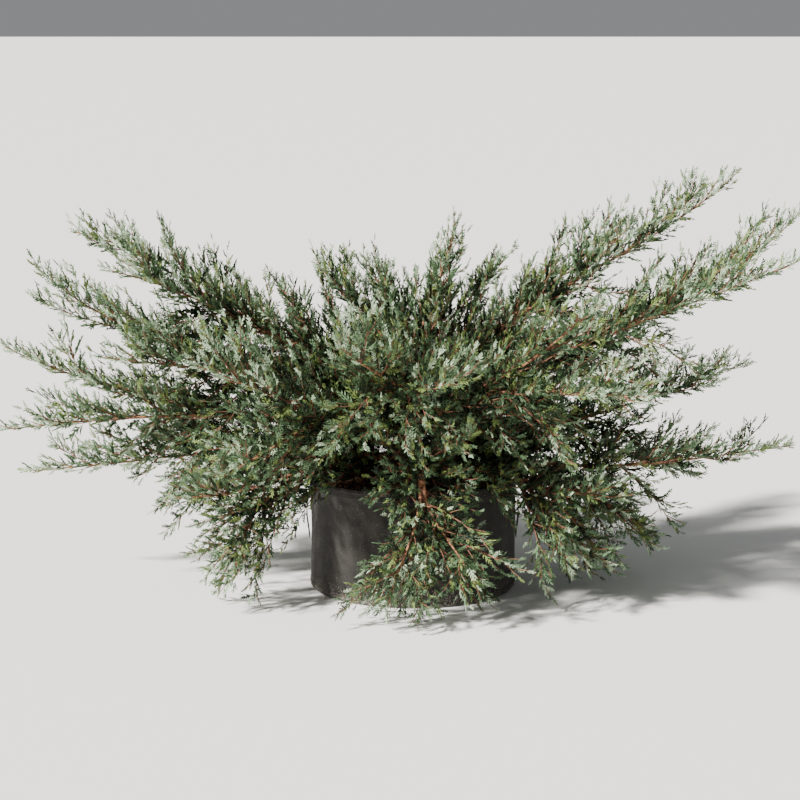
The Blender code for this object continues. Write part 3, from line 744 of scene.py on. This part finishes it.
def place_sprays(shoots, rng, sizes):
    """Roots, directions, lengths and depths of the sprays along the shoots."""
    counts = np.maximum(3, np.round(shoots.reach / sizes.spray_spacing)).astype(int)
    index = np.repeat(np.arange(len(counts)), counts)
    number = np.concatenate([np.arange(count) for count in counts])
    t = (number + rng.uniform(*WITHIN_STEP, len(number))) / counts[index]
    t = SPRAY_START + SPRAY_SPAN * t
    root, along = shoots.at(index, t)
    angle = np.radians(rng.uniform(*SPRAY_ANGLES, len(t))) * (SPRAY_OPENING - SPRAY_CLOSING * t)
    roll = number * GOLDEN_TURN * math.tau + rng.uniform(*SPRAY_ROLLS, len(t))
    direction = unit(leaving(along, angle, roll) + SPRAY_LIFT * UP)
    size = sizes.spray_length * (1.0 - SPRAY_TAPER * t) * rng.uniform(*SPRAY_VARIES, len(t))
    size *= np.clip(shoots.reach[index] / FULL_SHOOT, SMALLEST_SHARE, 1.0)
    keep = inside_reach(root) & inside_reach(root + direction * size[:, None])
    depth = shoots.depth[index] * SHOOT_SHARE + t * ALONG_SHARE
    return root[keep], direction[keep], size[keep], depth[keep]


SPRAY_TWIST = 0.9


def spray_turns(root, direction, rng):
    """Matrices with X along each spray and Z turned out of the crown."""
    across = unit(np.cross(direction, root - HEART))
    lift = np.cross(across, direction)
    roll = rng.uniform(-SPRAY_TWIST, SPRAY_TWIST, len(root))[:, None]
    side = np.sin(roll) * lift - np.cos(roll) * across
    top = np.cross(direction, side)
    return np.stack([direction, side, top], axis=2)


# how a spray's painted light and shade is worked out, and where each tone starts and ends
CROWN_STRETCH = (1.0, 1.3, 1.4)
CROWN_REACH = 0.75
DEPTH_LIGHT = 0.75
OUTER_LIGHT = 0.35
LIGHT_VARIES = 0.17
INNER_SHADE_BELOW = 0.40
MID_BELOW = 0.60
GLAUCOUS_ABOVE = 0.84
YELLOW_SHARE = 0.13


def spray_tones(root, depth, rng):
    """A tone for each spray: painted shade that darkens it deep in the crown, and glaucous towards the
    tips, partly the waxy young growth and partly painted light.
    """
    outer = np.linalg.norm((root - HEART) * CROWN_STRETCH, axis=1)
    varied = rng.normal(0, LIGHT_VARIES, len(root))
    # painted light and shade: higher near the tips and far from the heart, lower deep in the crown
    light = depth * DEPTH_LIGHT + np.clip(outer / CROWN_REACH, 0, 1) * OUTER_LIGHT + varied
    tone = np.full(len(root), GREY)
    tone[light < MID_BELOW] = MID
    tone[light < INNER_SHADE_BELOW] = INNER_SHADE
    tone[light > GLAUCOUS_ABOVE] = GLAUCOUS
    tone[rng.uniform(0, 1, len(root)) < YELLOW_SHARE] = YELLOW
    return tone


def foliage_piece(name, shoots, shapes, materials, rng, sizes):
    """All the sprays of a bough as one piece, with their tones dealt out by spray."""
    root, direction, size, depth = place_sprays(shoots, rng, sizes)
    turns = spray_turns(root, direction, rng)
    tones = spray_tones(root, depth, rng)
    choice = rng.integers(0, len(shapes), len(root))
    parts = []
    slots = []
    for index, shape in enumerate(shapes):
        chosen = choice == index
        if not chosen.any():
            continue
        parts.append(stamped(shape, root[chosen], turns[chosen], size[chosen]))
        slots.append(np.repeat(tones[chosen], len(shape[1])))
    places, faces = joined(parts)
    return piece_from_arrays("foliage_" + name, places, faces, materials, np.concatenate(slots))


TWIG_RINGS = 4
TWIG_RADIUS = 0.0012
BRANCH_RADIUS = 0.0022
TWIG_TIP_RADIUS = 0.0006


def twig_bars(shoots, radius):
    """The woody part of the shoots that stay clear of the bag, three-sided and tapering."""
    keep = inside_reach(shoots.root) & inside_reach(shoots.middle) & inside_reach(shoots.end)
    index = np.nonzero(keep)[0]
    t = np.linspace(0.0, 0.92, TWIG_RINGS)
    centres = np.stack([shoots.at(index, np.full(len(index), value))[0] for value in t], axis=1)
    taper = radius + t * (TWIG_TIP_RADIUS - radius)
    return bars(centres, np.repeat(taper[None], len(index), axis=0), sides=3)


def twig_piece(name, branches, shoots, material):
    places, faces = joined([twig_bars(branches, BRANCH_RADIUS), twig_bars(shoots, TWIG_RADIUS)])
    return piece_from_arrays("twigs_" + name, places, faces, [material])


STRIP_WIDTH = 0.0035
RIDGE_DEPTH = 0.10
LUMP_DEPTH = 0.04
RING_STEP = 0.006
TRUNK_RINGS = 44
TRUNK_SIDES = 48


def bark_relief(radius, run, around, seed):
    """Long shallow strips that wander along a limb, deeper on thicker wood."""
    strips = np.maximum(3, np.round(math.tau * radius / STRIP_WIDTH))
    wander = 0.7 * np.sin(run / 0.030 + seed) + 0.4 * np.sin(run / 0.011 + 2 * seed)
    ridge = np.abs(np.sin(strips * around / 2 + wander))
    lumps = np.sin(run / 0.017 + 3 * around + seed) * np.sin(run / 0.008 - 2 * around)
    return radius * (1 + RIDGE_DEPTH * (ridge - 0.6) + LUMP_DEPTH * lumps)


def wood(path, radii, sides, seed):
    """A limb or stem with the bark's relief, from a path and its radii at even shares."""
    length = resampled(path, [0.0])[2]
    rings = max(8, round(length / RING_STEP))
    share = np.linspace(0, 1, rings)
    centres = resampled(path, share)[0]
    radius = np.interp(share, np.linspace(0, 1, len(radii)), radii)
    around = np.arange(sides) * math.tau / sides
    relief = bark_relief(radius[:, None], (share * length)[:, None], around[None], seed)
    return bars(centres[None], relief[None], sides)


def limb_radii():
    """Taper to the waist, then the knuckle that carries the two stems."""
    share = np.linspace(0, 1, 41)
    taper = LIMB_RADIUS + np.minimum(1, share / LIMB_WAIST_SHARE) * (LIMB_WAIST_RADIUS - LIMB_RADIUS)
    rise = np.clip((share - KNUCKLE_START) / KNUCKLE_RISE, 0, 1)
    return taper + (KNUCKLE_RADIUS - LIMB_WAIST_RADIUS) * rise


class Plan(NamedTuple):
    """A bough worked out: its limb, which is empty on the crown, and its stems and tips."""

    name: str
    limb: list
    stems: list
    tips: list
    nodes: list


def plan_bough(bough):
    """A bough's limb and two stems, by the rule of the solids."""
    fork, lead, side, ahead = fork_of(bough)
    limb = limb_path(bough, fork, ahead, PATH_POINTS)
    apart = (lead - fork).normalized() - (side - fork).normalized()
    apart = (apart - apart.dot(ahead) * ahead).normalized()
    back = fork - FORK_SINK * ahead
    stems = [
        stem_path(back + FORK_OFFSET * apart, ahead, bough.lead, PATH_POINTS),
        stem_path(back - FORK_OFFSET * apart, ahead, bough.side, PATH_POINTS),
    ]
    nodes = [f"mass_{bough.name}_lead", f"mass_{bough.name}_side"]
    return Plan(bough.name, limb, stems, [bough.lead, bough.side], nodes)


def plan_crown():
    """The stems on the trunk's own tip, by the rule of the solids."""
    top = trunk_place(SOIL_TOP + GAP + TRUNK_HEIGHT)
    ahead = (top - trunk_place(top.z - 0.02)).normalized()
    stems = []
    for turn, tip in zip(CROWN_TURNS, CROWN.values()):
        start = top - FORK_SINK * ahead + spot(turn, CROWN_OFFSET, 0.0)
        stems.append(stem_path(start, ahead, tip, PATH_POINTS))
    return Plan("crown", [], stems, list(CROWN.values()), ["mass_" + name for name in CROWN])


# rows of side branches: rolls say how far round from the upper side they leave, in degrees, a lift
# below 0 droops, and a depth goes from 0 in the heart of the crown to 1 at its tips
LIMB_SHOOT_TIP = Tip(0, 0, 0, 0, 0.075)
LIMB_SHOOT_DEPTH = (0.0, 0.15)
LIMB_SHOOT_FIRST = 0.12
SKIRT_TIP = Tip(0, 0, 0, 0, 0.125)
SKIRT_ROWS = (((0, 80), 0.7), ((25, 115), 0.4), ((70, 150), -0.35), ((80, 150), -1.4))
SKIRT_DEPTH = (0.0, 0.35)
UNDER_TIP = Tip(0, 0, 0, 0, 0.190)
UNDER_ROLLS = (90, 170)
UNDER_LIFT = -1.8
UNDER_DEPTH = (0.1, 0.5)
CORE_TIP = Tip(0, 0, 0, 0, 0.150)
CORE_ROLLS = ((20, 60), (100, 140), (0, 20), (70, 100), (150, 180))
CORE_LIFT = 0.2
CORE_DEPTH = (0.0, 0.3)
CORE_HEIGHTS = np.linspace(0.265, 0.395, 9)


class Growth(NamedTuple):
    """What has grown on a bough so far: groups of shoots and groups of side branches."""

    shoots: list
    branches: list

    def add_row(self, branches, tip, rng, sizes):
        """Adds a row of side branches and the shoots that leave it."""
        self.branches.append(branches)
        self.shoots.extend(shoots_of_branches(branches, tip, rng, sizes))


def grow_on_stems(growth, plan, rng, sizes):
    """Growth along the stems, with branches that hang under a limb's stems and hide the rim."""
    for stem, tip in zip(plan.stems, plan.tips):
        growth.shoots.append(grow_shoots(stem, tip, rng, sizes))
        growth.add_row(side_branches(stem, tip, rng), tip, rng, sizes)
        if plan.limb:
            start = stem[: len(stem) // 2]
            row = side_branches(start, UNDER_TIP, rng, UNDER_DEPTH, UNDER_ROLLS, UNDER_LIFT)
            growth.add_row(row, LIMB_SHOOT_TIP, rng, sizes)


def grow_on_limb(growth, limb, rng, sizes):
    """Growth along a limb, which fills the crown between the trunk and the plumes."""
    shoots = grow_shoots(limb, LIMB_SHOOT_TIP, rng, sizes, LIMB_SHOOT_DEPTH, LIMB_SHOOT_FIRST, 1.0)
    growth.shoots.append(shoots)
    skirt = limb[len(limb) // 6 :]
    for rolls, lift in SKIRT_ROWS:
        row = side_branches(skirt, SKIRT_TIP, rng, SKIRT_DEPTH, rolls, lift)
        growth.add_row(row, LIMB_SHOOT_TIP, rng, sizes)


def grow_on_trunk(growth, rng, sizes):
    """Growth on the trunk's upper half, which fills the heart of the crown."""
    core = [trunk_place(height) for height in CORE_HEIGHTS]
    for rolls in CORE_ROLLS:
        row = side_branches(core, CORE_TIP, rng, CORE_DEPTH, rolls, CORE_LIFT)
        growth.add_row(row, LIMB_SHOOT_TIP, rng, sizes)


def make_bough(plan, shapes, tones, bark, twig, sizes):
    """The wood, the twigs and the sprays of one bough."""
    rng = seeded(plan.name)
    growth = Growth([], [])
    grow_on_stems(growth, plan, rng, sizes)
    bars_of_wood = [wood(stem, STEM_RADII, 8, index) for index, stem in enumerate(plan.stems)]
    if plan.limb:
        bars_of_wood.append(wood(plan.limb, limb_radii(), sides=14, seed=5))
        grow_on_limb(growth, plan.limb, rng, sizes)
    else:
        grow_on_trunk(growth, rng, sizes)
    shoots = pooled(growth.shoots)
    side_wood = pooled(growth.branches)
    branch = piece_from_arrays("bough_" + plan.name, *joined(bars_of_wood), [bark], smooth=True)
    twigs = twig_piece(plan.name, side_wood, shoots, twig)
    leaders = pooled([leader_shoot(stem) for stem in plan.stems])
    foliage = foliage_piece(plan.name, pooled([shoots, side_wood, leaders]), shapes, tones, rng, sizes)
    for piece, slot in ((branch, "bark"), (twigs, "bark"), (foliage, "foliage")):
        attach(piece, "root")
    if plan.limb:
        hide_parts("limb_" + plan.name)
    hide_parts(*plan.nodes)


def make_trunk(bark):
    """The trunk with its lobed foot and its bark in strips."""
    share = np.linspace(0, 1, TRUNK_RINGS) ** 1.3
    foot = SOIL_TOP + GAP
    centres = np.array([tuple(trunk_place(foot + value * TRUNK_HEIGHT)) for value in share])
    radius = TRUNK_RADIUS + share * (TRUNK_TIP_RADIUS - TRUNK_RADIUS)
    height = share * TRUNK_HEIGHT
    fall = np.exp(-height / FLARE_HEIGHT)
    radius = radius + FLARE_RADIUS * fall
    around = np.arange(TRUNK_SIDES) * math.tau / TRUNK_SIDES
    lobes = 1 + FLARE_LOBE_DEPTH * fall[:, None] * np.cos(FLARE_LOBES * around + FLARE_LOBE_TURN)
    relief = bark_relief(radius[:, None], height[:, None], around[None], seed=1.0)
    places, faces = bars(centres[None], (relief * lobes)[None], TRUNK_SIDES)
    trunk = piece_from_arrays("trunk_bark", places, faces, [bark], smooth=True)
    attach(trunk, "root")
    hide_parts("trunk")


BAG_SIDES = 144
WALL_ROWS = 18
SEAM_HEIGHT = 0.014
SEAM_HALF = 0.003
SEAM_DEPTH = 0.0012
RIM_ROUND = 0.002
HEM_ROUND = 0.0015
HEM_STEP = 0.001
FOOT_INSET = 0.001
# folds of the wall: how many go round, how they slant with height, where they start, their share
FOLDS = ((5, 0.0, 1.3, 1.0), (9, 2.6, 0.0, 0.7), (17, -3.0, 0.0, 0.4))
FOLD_DEPTH = 0.0011
FOLD_CREST = 2.1
STITCH_SIZE = (1.0, 0.24, 0.20)
STITCH_SHARE = 0.7
# rows of stitches: radius, height and spacing
STITCH_ROWS = (
    (BAG_RADIUS + HEM_PROUD, BAG_HEIGHT - 0.006, 0.006),
    (BAG_RADIUS + HEM_PROUD, BAG_HEIGHT - HEM_HEIGHT + 0.004, 0.006),
    (BAG_RADIUS - 0.001, SEAM_HEIGHT, 0.007),
)


def bag_profile():
    """Radius and height over the bag's floor, up its inside, round its hem and down its wall."""
    inner = BAG_RADIUS - BAG_WALL
    hem = BAG_RADIUS + HEM_PROUD
    under_hem = BAG_HEIGHT - HEM_HEIGHT
    over_seam = SEAM_HEIGHT + SEAM_HALF
    under_rim = BAG_HEIGHT - RIM_ROUND
    profile = [(0.0, BAG_WALL), (inner - BAG_CORNER, BAG_WALL), (inner, BAG_WALL + BAG_CORNER)]
    profile += [(inner, under_rim), (inner + HEM_ROUND, BAG_HEIGHT)]
    profile += [(hem - HEM_ROUND, BAG_HEIGHT), (hem, under_rim), (hem, under_hem + HEM_STEP)]
    profile += [(BAG_RADIUS, under_hem - HEM_STEP)]
    for row in range(1, WALL_ROWS):
        share = row / WALL_ROWS
        profile.append((BAG_RADIUS, under_hem + share * (over_seam - under_hem)))
    profile += [(BAG_RADIUS - SEAM_DEPTH, SEAM_HEIGHT), (BAG_RADIUS, SEAM_HEIGHT - SEAM_HALF)]
    profile += [(BAG_RADIUS - FOOT_INSET, BAG_CORNER * 0.6)]
    profile += [(BAG_RADIUS - BAG_CORNER * 0.5, FOOT_INSET)]
    profile += [(BAG_RADIUS - BAG_CORNER, 0.0), (0.0, 0.0)]
    return profile


def sag(vert):
    """Soft vertical folds in the wall, deepest half way up, that lean inwards."""
    out = math.hypot(vert.co.x, vert.co.y)
    if out < BAG_RADIUS - 0.002 or vert.co.z < SEAM_HEIGHT:
        return
    turn = math.atan2(vert.co.y, vert.co.x)
    height = vert.co.z / BAG_HEIGHT
    folds = 0.0
    for count, slant, start, share in FOLDS:
        folds += share * math.sin(count * turn + slant * height + start)
    inward = FOLD_DEPTH * math.sin(math.pi * height) * (folds - FOLD_CREST)
    vert.co.x *= 1 + inward / out
    vert.co.y *= 1 + inward / out


def block(size):
    """A plain block of this size, to be worked on."""
    bm = bmesh.new()
    bmesh.ops.create_cube(bm, size=1.0)
    bmesh.ops.scale(bm, vec=size, verts=bm.verts)
    return bm


def stitch_ring(shape, radius, height, spacing):
    """Stitches round the bag at this height."""
    count = round(math.tau * radius / spacing)
    turn = np.arange(count) * math.tau / count
    out = np.stack([np.cos(turn), np.sin(turn), np.zeros(count)], axis=1)
    along = np.stack([-np.sin(turn), np.cos(turn), np.zeros(count)], axis=1)
    up = np.tile((0.0, 0.0, 1.0), (count, 1))
    places = radius * out + height * up
    turns = np.stack([along, up, out], axis=2)
    return stamped(shape, places, turns, np.full(count, STITCH_SHARE * spacing))


def spun_bag():
    """The bag's profile spun round its axis, with the folds in its wall."""
    bm = bmesh.new()
    verts = [bm.verts.new((radius, 0.0, height)) for radius, height in bag_profile()]
    edges = [bm.edges.new(pair) for pair in zip(verts, verts[1:])]
    round_axis = {"cent": (0, 0, 0), "axis": (0, 0, 1), "angle": math.tau, "steps": BAG_SIDES}
    bmesh.ops.spin(bm, geom=verts + edges, use_merge=True, **round_axis)
    bmesh.ops.remove_doubles(bm, verts=bm.verts, dist=0.00005)
    bmesh.ops.recalc_face_normals(bm, faces=bm.faces)
    for vert in bm.verts:
        sag(vert)
    return bm


def make_bag(colours):
    """The felt bag with its folds, seam and hem."""
    bag = link("felt_bag", mesh_from_bmesh(spun_bag(), "felt_bag"))
    bag.data.shade_smooth()
    bag.data.set_sharp_from_angle(angle=math.radians(50))
    bag.data.materials.append(felt_material(colours))
    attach(bag, "root")
    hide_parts("grow_bag")


def make_stitches():
    """Two rows of stitches on the hem and one in the seam."""
    shape = template(block(STITCH_SIZE))
    rows = [stitch_ring(shape, *row) for row in STITCH_ROWS]
    stitches = piece_from_arrays("bag_stitches", *joined(rows), [thread_material()])
    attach(stitches, "root")


STRAP_STAND_OFF = 0.0006


def make_handle(name, side, node, material):
    """A webbing strap that lies on the wall and bows a little between its ends."""
    bm = bmesh.new()
    bmesh.ops.create_grid(bm, x_segments=24, y_segments=8, size=0.5)
    for vert in bm.verts:
        share = vert.co.x + 0.5
        edge = abs(vert.co.y) * 2
        bow = HANDLE_BOW * math.sin(math.pi * share) ** 2 - 0.0004 * edge**4
        across = vert.co.y * HANDLE_WIDTH
        up = HANDLE_FOOT + share * (HANDLE_TOP - HANDLE_FOOT)
        vert.co = (side * (BAG_RADIUS + STRAP_STAND_OFF + bow), across, up)
    bmesh.ops.recalc_face_normals(bm, faces=bm.faces)
    if sum(face.normal.x * side for face in bm.faces) < 0:
        bmesh.ops.reverse_faces(bm, faces=bm.faces)
    strap = link(name, mesh_from_bmesh(bm, name))
    thickness = strap.modifiers.new("webbing", "SOLIDIFY")
    thickness.thickness = HANDLE_THICKNESS - STRAP_STAND_OFF
    thickness.offset = 1.0
    strap.data.materials.append(material)
    strap.data.shade_smooth()
    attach(strap, "root")
    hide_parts(node)


CHIP_SHAPES = 4
CHIP_COUNT = 1500
CHIP_LENGTHS = (0.007, 0.020)
CHIP_WIDTHS = (0.45, 0.75)
CHIP_THICKNESSES = (0.18, 0.34)
CHIP_ROUGHNESS = 0.06
CHIP_LEVELS = (-0.002, 0.005)
CHIP_TILT = 0.35
CHIP_FROM_TRUNK = 0.048
CHIP_FROM_WALL = 0.012


def chip_shape(index):
    """A torn flake of bark, a bevelled and warped block of unit length."""
    rng = seeded(f"chip {index}")
    bm = block((1.0, rng.uniform(*CHIP_WIDTHS), rng.uniform(*CHIP_THICKNESSES)))
    bmesh.ops.bevel(bm, geom=bm.edges[:], affect="EDGES", offset=0.05, segments=1, profile=0.5, material=-1)
    for vert in bm.verts:
        vert.co += Vector(rng.uniform(-CHIP_ROUGHNESS, CHIP_ROUGHNESS, 3))
    return template(bm)


def chip_turn(rng):
    """A chip that lies nearly flat, turned any way."""
    tilts = (rng.normal(0, CHIP_TILT), rng.normal(0, CHIP_TILT))
    return Euler((*tilts, rng.uniform(0, 6.28))).to_matrix()


def make_mix():
    """Bark chips strewn on the mix, clear of the trunk's foot."""
    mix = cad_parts["bark_mix"].data
    mix.materials.clear()
    mix.materials.append(mix_material())
    rng = seeded("chips")
    out = (BAG_RADIUS - BAG_WALL - CHIP_FROM_WALL) * np.sqrt(rng.uniform(0, 1, CHIP_COUNT))
    turn = rng.uniform(0, math.tau, CHIP_COUNT)
    level = SOIL_TOP + rng.uniform(*CHIP_LEVELS, CHIP_COUNT)
    places = np.stack([out * np.cos(turn), out * np.sin(turn), level], axis=1)
    from_trunk = np.hypot(places[:, 0] - TRUNK_FOOT[0], places[:, 1] - TRUNK_FOOT[1])
    places = places[from_trunk > CHIP_FROM_TRUNK]
    turns = np.array([chip_turn(rng) for _ in places])
    size = rng.uniform(*CHIP_LENGTHS, len(places))
    choice = rng.integers(0, CHIP_SHAPES, len(places))
    parts = []
    for index in range(CHIP_SHAPES):
        chosen = choice == index
        parts.append(stamped(chip_shape(index), places[chosen], turns[chosen], size[chosen]))
    chips = piece_from_arrays("bark_chips", *joined(parts), [chip_material()])
    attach(chips, "root")


class JUNIPER_OT_stage(bpy.types.Operator):
    """Set up the camera, the pale floor, the sun and the sky"""

    bl_idname = "juniper.stage"
    bl_label = "Camera, floor and light"

    def execute(self, context):
        camera = link("camera", bpy.data.cameras.new("camera"))
        camera.data.lens = CAMERA_LENS
        camera.data.sensor_width = 36.0
        camera.location = CAMERA_PLACE
        camera.rotation_euler = (math.radians(90 - CAMERA_PITCH), 0.0, 0.0)
        bpy.context.scene.camera = camera
        self.make_floor()
        self.make_lights(context)
        return {"FINISHED"}

    def make_floor(self):
        bm = bmesh.new()
        bmesh.ops.create_grid(bm, x_segments=1, y_segments=1, size=400.0)
        floor = link("floor", mesh_from_bmesh(bm, "floor"))
        floor.data.materials.append(new_material("pale studio floor", linear("#f2f2f0"), 0.9)[0])
        floor.location.z = -0.0005

    def make_lights(self, context):
        world = bpy.data.worlds.new("studio")
        world.use_nodes = True
        sky = world.node_tree.nodes["Background"].inputs
        sky["Color"].default_value = (*linear("#f4f6f8"), 1.0)
        sky["Strength"].default_value = 0.28
        context.scene.world = world
        key = bpy.data.lights.new("key", "SUN")
        key.energy = 11.5
        key.angle = math.radians(5)
        key.color = (1.0, 0.965, 0.91)
        lamp = link("key", key)
        lamp.rotation_euler = Vector((0.68, 0.40, -0.64)).to_track_quat("-Z", "Y").to_euler()


class JUNIPER_OT_bag(bpy.types.Operator):
    """Sew the felt grow bag and its stitches"""

    bl_idname = "juniper.bag"
    bl_label = "Grow bag"

    def execute(self, context):
        make_bag(context.scene.juniper_colours)
        make_stitches()
        return {"FINISHED"}


class JUNIPER_OT_handles(bpy.types.Operator):
    """Make the two webbing handles"""

    bl_idname = "juniper.handles"
    bl_label = "Handles"

    def execute(self, context):
        webbing = webbing_material()
        make_handle("strap_left", -1, "handle_left", webbing)
        make_handle("strap_right", 1, "handle_right", webbing)
        return {"FINISHED"}


class JUNIPER_OT_mix(bpy.types.Operator):
    """Fill the bag's top with bark chips"""

    bl_idname = "juniper.mix"
    bl_label = "Bark mix"

    def execute(self, context):
        make_mix()
        return {"FINISHED"}


class JUNIPER_OT_plant(bpy.types.Operator):
    """Grow the trunk, the boughs, their twigs and their foliage"""

    bl_idname = "juniper.plant"
    bl_label = "Trunk, boughs and foliage"

    def execute(self, context):
        sizes = context.scene.juniper_sizes
        colours = context.scene.juniper_colours
        bark = bark_material(colours)
        twig = new_material("young juniper bark", colours.twig, 0.8)[0]
        tones = [foliage_material(name, getattr(colours, name)) for name in TONES]
        shapes = [spray_shape(index, sizes.branchlet_radius) for index in range(SPRAY_SHAPES)]
        make_trunk(bark)
        for plan in [plan_bough(bough) for bough in BOUGHS] + [plan_crown()]:
            make_bough(plan, shapes, tones, bark, twig, sizes)
        return {"FINISHED"}


class JUNIPER_PT_panel(bpy.types.Panel):
    """The plant's pieces and their settings"""

    bl_label = "Juniper"
    bl_idname = "JUNIPER_PT_panel"
    bl_space_type = "VIEW_3D"
    bl_region_type = "UI"
    bl_category = "Juniper"

    def draw(self, context):
        for group in (context.scene.juniper_sizes, context.scene.juniper_colours):
            for name in group.__annotations__:
                self.layout.prop(group, name)
        for operator in OPERATORS:
            self.layout.operator(operator.bl_idname)


OPERATORS = (JUNIPER_OT_stage, JUNIPER_OT_bag, JUNIPER_OT_handles, JUNIPER_OT_mix, JUNIPER_OT_plant)
CLASSES = (JuniperSizes, JuniperColours, *OPERATORS, JUNIPER_PT_panel)


def register():
    for item in CLASSES:
        bpy.utils.register_class(item)
    bpy.types.Scene.juniper_sizes = bpy.props.PointerProperty(type=JuniperSizes)
    bpy.types.Scene.juniper_colours = bpy.props.PointerProperty(type=JuniperColours)


def unregister():
    del bpy.types.Scene.juniper_colours
    del bpy.types.Scene.juniper_sizes
    for item in reversed(CLASSES):
        bpy.utils.unregister_class(item)


def main():
    register()
    bpy.ops.juniper.stage()
    bpy.ops.juniper.bag()
    bpy.ops.juniper.handles()
    bpy.ops.juniper.mix()
    bpy.ops.juniper.plant()


if __name__ == "__main__":
    main()
